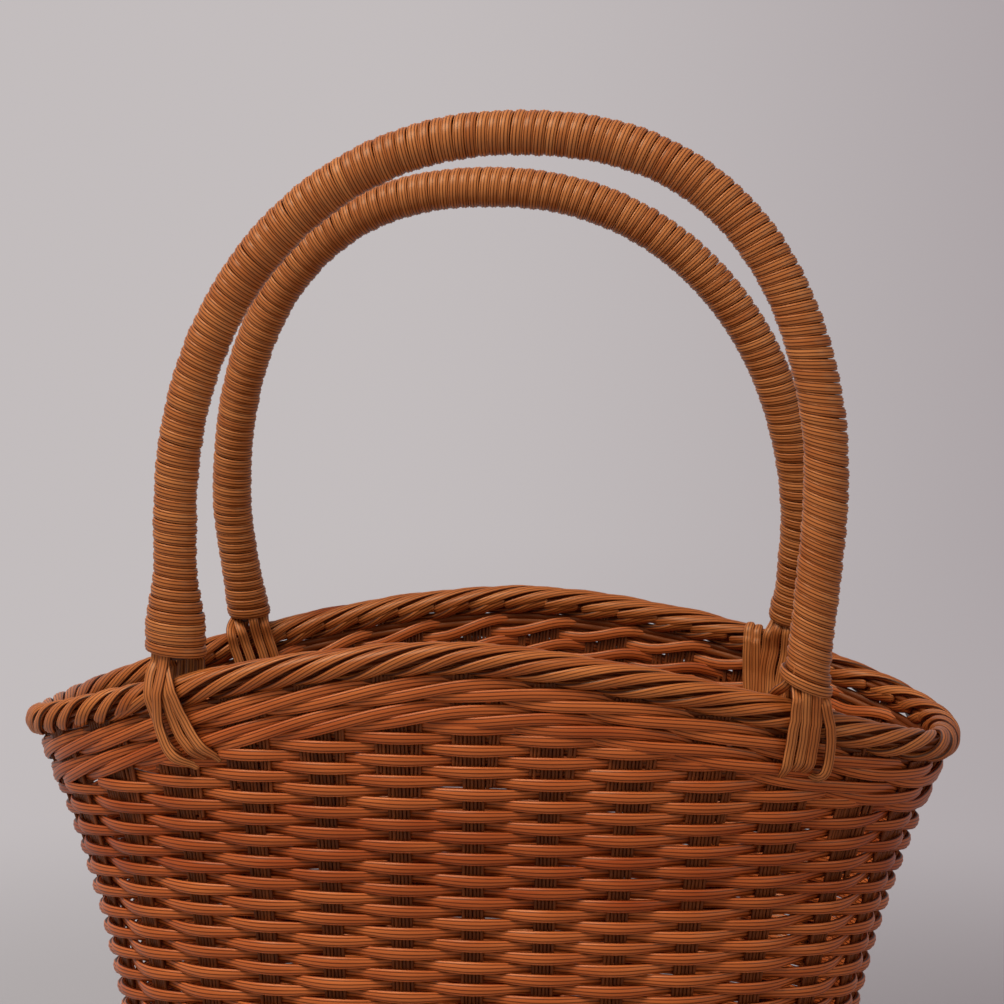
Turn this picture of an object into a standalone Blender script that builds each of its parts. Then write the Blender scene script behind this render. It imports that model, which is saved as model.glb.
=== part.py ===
"""Shopping basket of woven plastic cane with two wrapped carrying handles.

The basket stands on z = 0 with the middle of its underside at the origin.
X runs along the mouth, Y from the front to the back and Z up. Lengths are in
metres. A "turn" is the share of the way round the side, from the middle of the
front towards +X, and a "height share" is 0 on the floor and 1 at the middle of
the border above it.
"""

import math
from functools import lru_cache

import bmesh
import bpy
import numpy as np
from mathutils import Matrix, Vector

# Basket body: mouth, base and crest
mouth_half_length = 0.190
mouth_half_depth = 0.105
base_half_length = 0.143
base_half_depth = 0.099
tip_height = 0.212
crest_rise = 0.0407
plan_exponent = 2.7
crest_exponent = 1.68
flare_exponent = 2.05

# Side weave and its stakes
stake_count = 31
first_stake_share = 0.27
stake_width = 0.0090
stake_thickness = 0.0024
weave_thickness = 0.0076
weave_level_shares = (0.0, 0.22, 0.44, 0.64, 0.82, 1.0)

# Rings above and below the side weave
border_radius = 0.0066
border_sides = 8
wale_height = 0.0096
wale_thickness = 0.0094
foot_height = 0.0082
foot_width = 0.0110
foot_edge_round = 0.0026

# Woven base and the sticks inside it
base_thickness = 0.0064
base_stick_count = 9
base_stick_width = 0.0080
base_stick_thickness = 0.0024
base_stick_span_share = 0.86

# Carrying handles
handle_width_share = 0.6768
handle_arch_height = 0.1585
handle_exponent = 2.25
core_radius = 0.0060
core_sides = 8
core_spacing = 0.0155
handle_clear_of_border = 0.0066
hinge_height_share = 0.5
front_leg_height = 0.0659
front_shift = 0.0127
front_skew = 0.0105
front_tilt = math.radians(1.7)
front_lean = math.radians(3.8)
front_left_draw = 0.0015
front_right_draw = 0.0065
front_draw_height = 0.1050
back_leg_height = 0.0535
back_shift = -0.0013
back_skew = -0.0070
back_tilt = math.radians(-0.5)
back_lean = math.radians(11.6)
back_left_draw = 0.0056
back_right_draw = 0.0050
back_draw_height = 0.0540
draw_exponent = 1.3

# Winding round each handle
wrap_loops = 24
wrap_points_per_loop = 10
wrap_slack = 0.0008
wrap_thickness = 0.0019
wrap_turn_gap = 0.0007
wrap_tip_width = 0.0010
wrap_flare_straight = 0.0120
wrap_flare_taper = 0.0220

# Lashings that tie the handle feet to the border
lashing_width = 0.0170
lashing_top_width = 0.0086
lashing_shoulder_width = 0.0120
lashing_thickness = 0.0020
lashing_tuck = 0.0090
lashing_below_wale = 0.0060
lashing_outer_slack = 0.0012
lashing_inner_slack = 0.0016
lashing_shoulder_angles = (math.radians(66), math.radians(30))

# Clearances and finish
seat_gap = 0.0003
cut_overrun = 0.0050
plan_samples = 1440
hoop_samples = 1200
leg_samples = 60
gap_samples_per_span = 5
gap_search_steps = 2
ring_smooth_angle = math.radians(60)
band_smooth_angle = math.radians(40)
wrap_smooth_angle = math.radians(50)
millimetres_per_metre = 1000
printed_decimals = 5

# Finishes: colour, roughness and metallic value
weave_finish = ((0.37, 0.105, 0.024, 1.0), 0.42, 0.0)
stake_finish = ((0.27, 0.085, 0.022, 1.0), 0.48, 0.0)
border_finish = ((0.40, 0.135, 0.036, 1.0), 0.42, 0.0)
wrap_finish = ((0.42, 0.160, 0.050, 1.0), 0.38, 0.0)
core_finish = ((0.30, 0.200, 0.110, 1.0), 0.60, 0.0)

# Sizes that follow from the ones above
handle_half_width = mouth_half_length * handle_width_share
front_middle_angle = -math.pi / 2
weave_half = weave_thickness / 2
wale_half = wale_thickness / 2
foot_half = foot_width / 2
channel_half_width = stake_width / 2 + seat_gap
channel_half_thickness = stake_thickness / 2 + seat_gap
upper_wale_top = border_radius + seat_gap
upper_wale_bottom = upper_wale_top + wale_height
lower_wale_top = upper_wale_bottom + seat_gap
lower_wale_bottom = lower_wale_top + wale_height
weave_top = lower_wale_bottom + seat_gap
weave_bottom_height = foot_height + seat_gap
wrap_inner_radius = core_radius + wrap_slack
lashing_reach = seat_gap + lashing_thickness / 2
lashing_corner = math.hypot(core_radius + seat_gap + lashing_thickness, lashing_top_width / 2)
wrap_facet_share = math.cos(math.pi / wrap_points_per_loop)
wrap_flare_radius = (lashing_corner + seat_gap) / wrap_facet_share + seat_gap


# Plan of the side

@lru_cache(maxsize=None)
def plan_table(half_length, half_depth):
    """Points round one level of the side and the distance covered up to each."""
    angles = front_middle_angle + np.linspace(0, 2 * math.pi, plan_samples + 1)
    cosines, sines = np.cos(angles), np.sin(angles)
    powers = np.abs(cosines) ** plan_exponent + np.abs(sines) ** plan_exponent
    reach = powers ** (-1 / plan_exponent)
    xs, ys = half_length * cosines * reach, half_depth * sines * reach
    steps = np.hypot(np.diff(xs), np.diff(ys))
    return xs, ys, np.concatenate(([0.0], np.cumsum(steps)))


def half_sizes(height_share):
    flare = max(height_share, 0.0) ** flare_exponent
    half_length = base_half_length + (mouth_half_length - base_half_length) * flare
    half_depth = base_half_depth + (mouth_half_depth - base_half_depth) * flare
    return half_length, half_depth


def plan_point(turn, half_length, half_depth):
    xs, ys, distances = plan_table(half_length, half_depth)
    distance = (turn % 1.0) * distances[-1]
    return float(np.interp(distance, distances, xs)), float(np.interp(distance, distances, ys))


def plan_normal(x, y, half_length, half_depth):
    across = math.copysign(abs(x / half_length) ** (plan_exponent - 1) / half_length, x)
    along = math.copysign(abs(y / half_depth) ** (plan_exponent - 1) / half_depth, y)
    return Vector((across, along, 0)).normalized()


def rim_height(turn):
    """Height of the border's middle line, lowest at the two end tips."""
    x, _ = plan_point(turn, mouth_half_length, mouth_half_depth)
    return tip_height + crest_rise * (1 - abs(x / mouth_half_length) ** crest_exponent)


def side_frame(turn, height_share):
    half_length, half_depth = half_sizes(height_share)
    x, y = plan_point(turn, half_length, half_depth)
    point = Vector((x, y, height_share * rim_height(turn)))
    return point, plan_normal(x, y, half_length, half_depth)


def side_point(turn, height_share, outward=0.0):
    point, normal = side_frame(turn, height_share)
    return point + normal * outward


def share_at_height(turn, height):
    return height / rim_height(turn)


def share_at_drop(turn, drop):
    return 1 - drop / rim_height(turn)


def level_length(height_share):
    return plan_table(*half_sizes(height_share))[2][-1]


def stake_turn(index):
    return (index + first_stake_share) / stake_count


def turn_at_mouth_x(x, front):
    """Turn at which the border passes over a given x on the front or the back."""
    xs, ys, distances = plan_table(mouth_half_length, mouth_half_depth)
    turns = distances / distances[-1]
    if front:
        chosen = ys < 0
        turns = np.where(xs < 0, turns - 1, turns)
    else:
        chosen = ys > 0
    order = np.argsort(xs[chosen])
    return float(np.interp(x, xs[chosen][order], turns[chosen][order]))


# Mesh helpers

def finish_material(name, finish):
    material = bpy.data.materials.get(name)
    if material is None:
        colour, roughness, metallic = finish
        material = bpy.data.materials.new(name)
        material.use_nodes = True
        shader = material.node_tree.nodes["Principled BSDF"]
        shader.inputs["Base Color"].default_value = colour
        shader.inputs["Roughness"].default_value = roughness
        shader.inputs["Metallic"].default_value = metallic
    return material


def add_object(name, bm, finish_name, finish, smooth_angle=None):
    bmesh.ops.recalc_face_normals(bm, faces=bm.faces)
    mesh = bpy.data.meshes.new(name)
    bm.to_mesh(mesh)
    bm.free()
    mesh.materials.append(finish_material(finish_name, finish))
    if smooth_angle is not None:
        mesh.shade_smooth()
        mesh.set_sharp_from_angle(angle=smooth_angle)
    item = bpy.data.objects.new(name, mesh)
    bpy.context.scene.collection.objects.link(item)
    return item


def skin_rows(bm, rows, closed_rows):
    """Join neighbouring rows of vertices with quads; each row is a closed loop."""
    pairs = list(zip(rows, rows[1:]))
    if closed_rows:
        pairs.append((rows[-1], rows[0]))
    for lower, upper in pairs:
        count = len(lower)
        for index in range(count):
            following = (index + 1) % count
            bm.faces.new((lower[index], lower[following], upper[following], upper[index]))


def swept_solid(sections, closed):
    """Solid through a list of like sections, capped at both ends unless closed."""
    bm = bmesh.new()
    rows = [[bm.verts.new(point) for point in section] for section in sections]
    skin_rows(bm, rows, closed)
    if not closed:
        bm.faces.new(rows[0])
        bm.faces.new(list(reversed(rows[-1])))
    return bm


# Side weave, wales and stakes

def channel_turns(index, level):
    """Turns of the two edges of one stake's channel at a level of a band."""
    middle = stake_turn(index)
    half = channel_half_width / level_length(level(middle))
    return middle - half, middle + half


def channelled_band(name, levels, half_thickness, finish_name, finish):
    """Closed band round the basket with an open channel for every stake."""
    bm = bmesh.new()
    offsets = (-half_thickness, -channel_half_thickness, channel_half_thickness, half_thickness)
    grid = []
    for level in levels:
        columns = []
        for index in range(stake_count):
            for turn in channel_turns(index, level):
                columns.append([bm.verts.new(side_point(turn, level(turn), offset))
                                for offset in offsets])
        grid.append(columns)
    column_count = 2 * stake_count
    for column in range(column_count):
        following = (column + 1) % column_count
        inside_channel = column % 2 == 0
        for lower, upper in zip(grid, grid[1:]):
            for depth in (0, 3):
                bm.faces.new((lower[column][depth], lower[following][depth],
                              upper[following][depth], upper[column][depth]))
            if inside_channel:
                for depth in (1, 2):
                    bm.faces.new((lower[column][depth], lower[following][depth],
                                  upper[following][depth], upper[column][depth]))
            bm.faces.new((lower[column][1], lower[column][2],
                          upper[column][2], upper[column][1]))
        for end in (grid[0], grid[-1]):
            for depth in (0, 1, 2):
                if inside_channel and depth == 1:
                    continue
                bm.faces.new((end[column][depth], end[following][depth],
                              end[following][depth + 1], end[column][depth + 1]))
    return add_object(name, bm, finish_name, finish, band_smooth_angle)


def height_level(height):
    return lambda turn: share_at_height(turn, height)


def drop_level(drop):
    return lambda turn: share_at_drop(turn, drop)


def mixed_level(lower, upper, share):
    return lambda turn: lower(turn) + (upper(turn) - lower(turn)) * share


weave_levels = [mixed_level(height_level(weave_bottom_height), drop_level(weave_top), share)
                for share in weave_level_shares]
lower_wale_levels = [drop_level(lower_wale_bottom), drop_level(lower_wale_top)]
upper_wale_levels = [drop_level(upper_wale_bottom), drop_level(upper_wale_top)]


def build_side():
    channelled_band("side_weave", weave_levels, weave_half, "woven_cane", weave_finish)
    channelled_band("lower_wale", lower_wale_levels, wale_half, "woven_cane", weave_finish)
    channelled_band("upper_wale", upper_wale_levels, wale_half, "woven_cane", weave_finish)


def build_stake(index):
    """Flat bundle of cane that runs up through the weave and both wales."""
    half_thickness = stake_thickness / 2
    sections = []
    for level in weave_levels + lower_wale_levels + upper_wale_levels:
        middle = stake_turn(index)
        half = stake_width / 2 / level_length(level(middle))
        corners = ((-half, -half_thickness), (half, -half_thickness),
                   (half, half_thickness), (-half, half_thickness))
        sections.append([side_point(middle + along, level(middle + along), outward)
                         for along, outward in corners])
    bm = swept_solid(sections, closed=False)
    add_object(f"stake_{index + 1:02d}", bm, "stake_cane", stake_finish)


def ring_turns():
    """Turns of the ring sections, in step with the channels of the upper wale."""
    return [turn for index in range(stake_count)
            for turn in channel_turns(index, upper_wale_levels[-1])]


def build_border():
    """Rolled border of turned-down stake ends, round in section."""
    sections = []
    for turn in ring_turns():
        middle, normal = side_frame(turn, 1.0)
        section = []
        for side in range(border_sides):
            angle = 2 * math.pi * (side + 0.5) / border_sides
            section.append(middle + normal * border_radius * math.cos(angle)
                           + Vector((0, 0, border_radius * math.sin(angle))))
        sections.append(section)
    bm = swept_solid(sections, closed=True)
    add_object("border", bm, "border_cane", border_finish, ring_smooth_angle)


def build_foot():
    """Wale round the edge of the base, flat underneath, which the basket stands on."""
    profile = ((-foot_half, 0), (foot_half - foot_edge_round, 0),
               (foot_half, foot_edge_round), (foot_half, foot_height - foot_edge_round),
               (foot_half - foot_edge_round, foot_height), (-foot_half, foot_height))
    sections = []
    for turn in ring_turns():
        middle, normal = side_frame(turn, 0.0)
        sections.append([middle + normal * outward + Vector((0, 0, height))
                         for outward, height in profile])
    bm = swept_solid(sections, closed=True)
    add_object("foot_wale", bm, "woven_cane", weave_finish, band_smooth_angle)


# Base

base_outline_inset = foot_half + seat_gap


def base_outline():
    outline = []
    for turn in ring_turns():
        middle, normal = side_frame(turn, 0.0)
        outline.append(middle - normal * base_outline_inset)
    return outline


def box(bm, low, high):
    corners = [bm.verts.new((x, y, z)) for z in (low[2], high[2])
               for x, y in ((low[0], low[1]), (high[0], low[1]),
                            (high[0], high[1]), (low[0], high[1]))]
    faces = ((3, 2, 1, 0), (4, 5, 6, 7), (0, 1, 5, 4), (1, 2, 6, 5), (2, 3, 7, 6), (3, 0, 4, 7))
    for face in faces:
        bm.faces.new([corners[corner] for corner in face])


def base_stick_places():
    """Place along X of each base stick, and how far it may run towards front and back."""
    half_span = (base_half_length - base_outline_inset) * base_stick_span_share
    half_length = base_half_length - base_outline_inset
    half_depth = base_half_depth - base_outline_inset
    places = []
    for index in range(base_stick_count):
        x = half_span * (2 * index / (base_stick_count - 1) - 1)
        outer_x = abs(x) + base_stick_width / 2
        share = (1 - (outer_x / half_length) ** plan_exponent) ** (1 / plan_exponent)
        places.append((x, half_depth * share - base_stick_thickness))
    return places


def build_base():
    outline = base_outline()
    sections = [[point + Vector((0, 0, height)) for point in outline]
                for height in (0, base_thickness)]
    base = add_object("base_weave", swept_solid(sections, closed=False),
                      "woven_cane", weave_finish)
    middle_height = base_thickness / 2
    half_slot_width = base_stick_width / 2 + seat_gap
    half_slot_height = base_stick_thickness / 2 + seat_gap
    slots = bmesh.new()
    for number, (x, reach) in enumerate(base_stick_places(), start=1):
        slot_reach = base_half_depth + cut_overrun
        box(slots, (x - half_slot_width, -slot_reach, middle_height - half_slot_height),
            (x + half_slot_width, slot_reach, middle_height + half_slot_height))
        stick = bmesh.new()
        box(stick, (x - base_stick_width / 2, -reach, middle_height - base_stick_thickness / 2),
            (x + base_stick_width / 2, reach, middle_height + base_stick_thickness / 2))
        add_object(f"base_stick_{number}", stick, "stake_cane", stake_finish)
    cutter = add_object("base_slot_cutter", slots, "stake_cane", stake_finish)
    cutter.hide_render = True
    cutter.display_type = "WIRE"
    cut = base.modifiers.new("stick_slots", "BOOLEAN")
    cut.operation = "DIFFERENCE"
    cut.solver = "EXACT"
    cut.object = cutter


# Handles

class Handle:
    """One carrying handle: its arch in a flat frame, and that frame on the basket."""

    def __init__(self, name, front, leg_height, skew, draws, draw_height, shift, tilt, lean):
        self.name = name
        self.front = front
        self.leg_height = leg_height
        self.skew = skew
        self.left_draw, self.right_draw = draws
        self.draw_height = draw_height
        self.foot_height = border_radius + handle_clear_of_border
        self.hinge_height = border_radius + handle_clear_of_border * hinge_height_share
        rotation = Matrix.Rotation(lean, 4, "X") @ Matrix.Rotation(tilt, 4, "Y")
        foot_turn = turn_at_mouth_x(handle_half_width, front)
        on_border = side_point(foot_turn, 1.0)
        datum = Vector((shift, on_border.y, on_border.z))
        to_hinge = rotation @ Vector((0, 0, self.hinge_height))
        self.matrix = Matrix.Translation(datum + to_hinge) @ rotation
        self.points, self.distances = self.arch_table()
        self.length = self.distances[-1]

    def arch_table(self):
        """Middle line from the left foot over the top to the right foot."""
        angles = np.linspace(math.pi, 0, hoop_samples)
        cosines, sines = np.cos(angles), np.sin(angles)
        powers = np.abs(cosines) ** handle_exponent + np.abs(sines) ** handle_exponent
        reach = powers ** (-1 / handle_exponent)
        across = handle_half_width * cosines * reach
        above = handle_arch_height * sines * reach
        across = across + self.skew * (above / handle_arch_height) ** 2
        legs = np.linspace(self.foot_height, self.leg_height, leg_samples, endpoint=False)
        leg_sides = np.full(leg_samples, handle_half_width)
        across = np.concatenate((-leg_sides, across, leg_sides))
        heights = np.concatenate((legs, above + self.leg_height, legs[::-1]))
        drawn = np.clip(1 - (heights - self.foot_height) / self.draw_height, 0, 1)
        across += np.where(across < 0, self.left_draw, -self.right_draw) * drawn ** draw_exponent
        points = np.stack((across, heights - self.hinge_height), axis=1)
        steps = np.hypot(*np.diff(points, axis=0).T)
        return points, np.concatenate(([0.0], np.cumsum(steps)))

    def frame(self, distance):
        """Point, direction and outward side of the arch at a distance from the left foot."""
        def point_at(place):
            return Vector((float(np.interp(place, self.distances, self.points[:, 0])), 0,
                           float(np.interp(place, self.distances, self.points[:, 1]))))
        step = core_radius / 2
        before = max(distance - step, 0.0)
        after = min(distance + step, self.length)
        direction = (point_at(after) - point_at(before)).normalized()
        outward = Vector((-direction.z, 0, direction.x))
        return point_at(distance), direction, outward

    def around(self, distance, radius, angle):
        point, _, outward = self.frame(distance)
        return point + outward * radius * math.cos(angle) + Vector((0, radius * math.sin(angle), 0))


front_handle = Handle("front_handle", True, front_leg_height, front_skew,
                      (front_left_draw, front_right_draw), front_draw_height,
                      front_shift, front_tilt, front_lean)
back_handle = Handle("back_handle", False, back_leg_height, back_skew,
                     (back_left_draw, back_right_draw), back_draw_height,
                     back_shift, back_tilt, back_lean)


def flare_radius(handle, distance):
    """Inner radius of the winding, wider over the tucked lashing ends at each foot."""
    from_foot = min(distance, handle.length - distance)
    fade = min(max((from_foot - wrap_flare_straight) / wrap_flare_taper, 0.0), 1.0)
    fade = fade * fade * (3 - 2 * fade)
    return wrap_flare_radius + (wrap_inner_radius - wrap_flare_radius) * fade


def build_core(handle, hinge):
    """Round rod inside the winding."""
    spans = round(handle.length / core_spacing)
    sections = []
    for step in range(spans + 1):
        distance = handle.length * step / spans
        sections.append([handle.around(distance, core_radius, 2 * math.pi * side / core_sides)
                         for side in range(core_sides)])
    bm = swept_solid(sections, closed=False)
    item = add_object(f"{handle.name}_core", bm, "handle_rod", core_finish, ring_smooth_angle)
    item.parent = hinge


def wrap_sections(handle):
    """Sections of one unbroken flat band that winds round the rod from foot to foot."""
    band_width = (handle.length / wrap_loops - wrap_turn_gap) / (1 - 1 / wrap_loops)
    first = wrap_tip_width - band_width / 2
    last = handle.length + band_width / 2 - wrap_tip_width
    steps = wrap_loops * wrap_points_per_loop
    sections = []
    for step in range(steps + 1):
        middle = first + (last - first) * step / steps
        angle = 2 * math.pi * step / wrap_points_per_loop
        low = max(middle - band_width / 2, 0.0)
        high = min(middle + band_width / 2, handle.length)
        places = (low, (low + high) / 2, high)
        inner = [handle.around(place, flare_radius(handle, place), angle) for place in places]
        outer = [handle.around(place, flare_radius(handle, place) + wrap_thickness, angle)
                 for place in places]
        sections.append(inner + outer[::-1])
    return sections


def least_turn_gap(sections):
    """Least distance between neighbouring turns, measured between points on their edges."""
    edge_shares = np.linspace(0, 1, gap_samples_per_span, endpoint=False)
    corners = np.array([[tuple(point) for point in section] for section in sections])

    def edge(column):
        line = corners[:, column]
        return np.concatenate([line[:-1] + (line[1:] - line[:-1]) * share
                               for share in edge_shares])

    least = math.inf
    count = len(sections) - 1
    steps = np.tile(np.arange(count), gap_samples_per_span)
    for upper_column, lower_column in ((2, 0), (3, 5)):
        upper, lower = edge(upper_column), edge(lower_column)
        for step in range(count - wrap_points_per_loop + 1):
            near = np.abs(steps - step - wrap_points_per_loop) <= gap_search_steps
            if near.any():
                gaps = np.linalg.norm(lower[near] - upper[step], axis=1)
                least = min(least, float(gaps.min()))
    return least


def build_wrap(handle, hinge):
    sections = wrap_sections(handle)
    least_gap = least_turn_gap(sections) * millimetres_per_metre
    print(f"{handle.name}_wrap least gap between turns: {least_gap:.2f} mm")
    bm = swept_solid(sections, closed=False)
    item = add_object(f"{handle.name}_wrap", bm, "wrap_cane", wrap_finish, wrap_smooth_angle)
    item.parent = hinge


def lashing_stations(handle, foot_distance, upwards, side):
    """Middle, sideways direction and width of the lashing from its tucked top down."""
    turn_matrix = handle.matrix.to_3x3()
    stations = []
    core_reach = (core_radius + lashing_reach) * side
    for tuck in (lashing_tuck, 0.0):
        point, _, outward = handle.frame(foot_distance + upwards * tuck)
        point = point + Vector((0, core_reach, 0))
        sideways = turn_matrix @ (outward * -upwards)
        stations.append((handle.matrix @ point, sideways, lashing_top_width))
    foot = handle.matrix @ handle.frame(foot_distance)[0]
    turn = turn_at_mouth_x(foot.x, handle.front)
    outside = -side if handle.front else side
    slack = lashing_outer_slack if outside > 0 else lashing_inner_slack
    beyond = slack + lashing_thickness / 2
    wale_reach = wale_half + beyond
    weave_reach = weave_half + beyond
    border_reach = border_radius + beyond
    border_middle, border_normal = side_frame(turn, 1.0)
    core_side = (stations[-1][0] - border_middle).dot(border_normal) * outside
    drops = []
    for angle in lashing_shoulder_angles:
        if border_reach * math.cos(angle) > core_side:
            drops.append((-border_reach * math.sin(angle), border_reach * math.cos(angle)))
    drops += [(0.0, border_reach),
              ((upper_wale_top + upper_wale_bottom) / 2, wale_reach),
              ((lower_wale_top + lower_wale_bottom) / 2, wale_reach),
              (weave_top, wale_reach), (weave_top + lashing_below_wale, weave_reach)]
    for drop, reach in drops:
        middle, normal = side_frame(turn, share_at_drop(turn, max(drop, 0.0)))
        middle = middle + Vector((0, 0, max(-drop, 0.0)))
        sideways = Vector((-normal.y, normal.x, 0))
        if sideways.dot(stations[0][1]) < 0:
            sideways = -sideways
        width = lashing_width if drop >= 0 else lashing_shoulder_width
        stations.append((middle + normal * reach * outside, sideways, width))
    return stations


def build_lashing(name, handle, foot_distance, upwards, side):
    """Strap of flat cane from under the winding, over the border, onto the weave."""
    stations = lashing_stations(handle, foot_distance, upwards, side)
    sections = []
    for index, (middle, sideways, width) in enumerate(stations):
        before = stations[max(index - 1, 0)][0]
        after = stations[min(index + 1, len(stations) - 1)][0]
        along = (after - before).normalized()
        sideways = (sideways - along * sideways.dot(along)).normalized()
        through = along.cross(sideways) * lashing_thickness / 2
        across = sideways * width / 2
        sections.append([middle - across - through, middle + across - through,
                         middle + across + through, middle - across + through])
    bm = swept_solid(sections, closed=False)
    add_object(name, bm, "wrap_cane", wrap_finish)


def build_handle(handle):
    hinge = bpy.data.objects.new(f"{handle.name}_hinge", None)
    bpy.context.scene.collection.objects.link(hinge)
    hinge.matrix_world = handle.matrix
    build_core(handle, hinge)
    build_wrap(handle, hinge)
    short_name = handle.name.split("_")[0]
    feet = (("left", 0.0, 1), ("right", handle.length, -1))
    for foot_name, foot_distance, upwards in feet:
        for side_name, side in (("front", -1), ("back", 1)):
            outside = (side < 0) == handle.front
            face = "outer" if outside else "inner"
            build_lashing(f"{short_name}_{foot_name}_lashing_{face}",
                          handle, foot_distance, upwards, side)
    place = tuple(round(value, printed_decimals) for value in handle.matrix.translation)
    axis = tuple(round(value, printed_decimals) for value in handle.matrix.to_3x3().col[0])
    print(handle.name, "hinge at", place, "axis", axis)


def main():
    for item in list(bpy.data.objects):
        bpy.data.objects.remove(item)
    build_base()
    build_foot()
    build_side()
    for index in range(stake_count):
        build_stake(index)
    build_border()
    for handle in (front_handle, back_handle):
        build_handle(handle)


main()
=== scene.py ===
"""Shopping basket of woven plastic cane: every cane, strand and turn of winding, laid over the frame.

Lengths are in metres. The basket stands on z = 0, X runs along the mouth, Y from the front to the
back. A "turn" is the share of the way round the side, from the middle of the front towards +X.
"""

from math import ceil, floor, pi, radians

import bpy
import numpy as np
from bpy.props import FloatProperty, FloatVectorProperty, IntProperty, PointerProperty
from mathutils import Matrix, Vector


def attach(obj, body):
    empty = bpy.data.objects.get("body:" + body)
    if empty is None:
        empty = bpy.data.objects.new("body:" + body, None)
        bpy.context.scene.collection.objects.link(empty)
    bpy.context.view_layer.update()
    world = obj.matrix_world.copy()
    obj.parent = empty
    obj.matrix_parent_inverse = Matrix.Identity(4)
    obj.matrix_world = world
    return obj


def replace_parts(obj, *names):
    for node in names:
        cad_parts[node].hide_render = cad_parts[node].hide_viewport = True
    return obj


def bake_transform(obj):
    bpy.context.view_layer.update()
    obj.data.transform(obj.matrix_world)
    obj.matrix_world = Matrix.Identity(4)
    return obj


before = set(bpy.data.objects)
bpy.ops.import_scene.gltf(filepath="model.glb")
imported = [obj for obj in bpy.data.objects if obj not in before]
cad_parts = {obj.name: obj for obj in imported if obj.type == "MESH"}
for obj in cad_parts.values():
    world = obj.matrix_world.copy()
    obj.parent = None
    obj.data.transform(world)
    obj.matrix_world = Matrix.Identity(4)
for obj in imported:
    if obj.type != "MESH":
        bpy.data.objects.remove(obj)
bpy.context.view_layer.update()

bl_info = {
    "name": "Woven shopping basket",
    "version": (1, 0, 0),
    "blender": (4, 5, 0),
    "location": "3D View > Sidebar > Basket",
    "description": "Weaves the canes, rim, handles and lashings of a shopping basket over its frame",
    "category": "Object",
}

MM = 0.001

# Form of the basket, the same as in its frame
MOUTH = (0.190, 0.105)
BASE = (0.143, 0.099)
TIP_HEIGHT = 0.212
CREST_RISE = 0.0407
PLAN_EXPONENT = 2.7
CREST_EXPONENT = 1.68
FLARE_EXPONENT = 2.05
STAKES = 31
FIRST_STAKE = 0.27
BORDER_RADIUS = 0.0066
FOOT_HEIGHT = 0.0082
UPPER_WALE_DROP = 0.0117
LOWER_WALE_DROP = 0.0216
WEAVE_TOP_DROP = 0.0267
BASE_THICKNESS = 0.0064
STICKS = 9
BASE_INSET = 0.0058
BASE_STICK_SPAN = 0.86

# Form of the handles, the same as in the frame
HANDLE_HALF_WIDTH = 0.1286
HANDLE_ARCH = 0.1585
HANDLE_EXPONENT = 2.25
DRAW_EXPONENT = 1.3
FOOT_CLEARANCE = 0.0066
WRAP_INNER_RADIUS = 0.0068
WRAP_FLARE_RADIUS = 0.0104

# Samples along a cane from one stake to the next, and in one turn of a winding
SPAN_STEPS = 8
TURN_STEPS = 22


# Points on the side

TABLE_SHARES = np.linspace(0, 1, 81)
TABLE_TURNS = np.linspace(0, 1, 2881)


def half_sizes(shares):
    flare = np.clip(shares, 0, 1) ** FLARE_EXPONENT
    return BASE[0] + (MOUTH[0] - BASE[0]) * flare, BASE[1] + (MOUTH[1] - BASE[1]) * flare


def superellipse(cosines, sines, exponent):
    """Distance of the edge from the middle in each direction, in half sizes."""
    return (np.abs(cosines) ** exponent + np.abs(sines) ** exponent) ** (-1 / exponent)


def make_plan_table():
    angles = -pi / 2 + np.linspace(0, 2 * pi, 5761)
    cosines, sines = np.cos(angles), np.sin(angles)
    reach = superellipse(cosines, sines, PLAN_EXPONENT)
    table = []
    for share in TABLE_SHARES:
        length, depth = half_sizes(share)
        xs, ys = length * cosines * reach, depth * sines * reach
        run = np.concatenate(([0], np.cumsum(np.hypot(np.diff(xs), np.diff(ys)))))
        table.append([np.interp(TABLE_TURNS, run / run[-1], values) for values in (xs, ys)])
    return np.array(table)


PLAN = make_plan_table()
MOUTH_LENGTH = float(np.hypot(*np.diff(PLAN[-1], axis=1)).sum())


def plan_at(turns, shares):
    """X and Y at a turn and a height share, between the four nearest points of the table."""
    row = np.clip(shares, 0, 1) * (len(TABLE_SHARES) - 1)
    column = (turns % 1.0) * (len(TABLE_TURNS) - 1)
    row_low = np.minimum(row.astype(int), len(TABLE_SHARES) - 2)
    column_low = np.minimum(column.astype(int), len(TABLE_TURNS) - 2)
    up, along = row - row_low, column - column_low
    found = []
    for values in (PLAN[:, 0], PLAN[:, 1]):
        low, high = (values[row, column_low] * (1 - along) + values[row, column_low + 1] * along
                     for row in (row_low, row_low + 1))
        found.append(low * (1 - up) + high * up)
    return found


def rim_height(turns):
    x, _ = plan_at(turns, np.ones_like(turns))
    return TIP_HEIGHT + CREST_RISE * (1 - np.abs(x / MOUTH[0]) ** CREST_EXPONENT)


def unit(vectors):
    return vectors / np.linalg.norm(vectors, axis=-1, keepdims=True)


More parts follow.
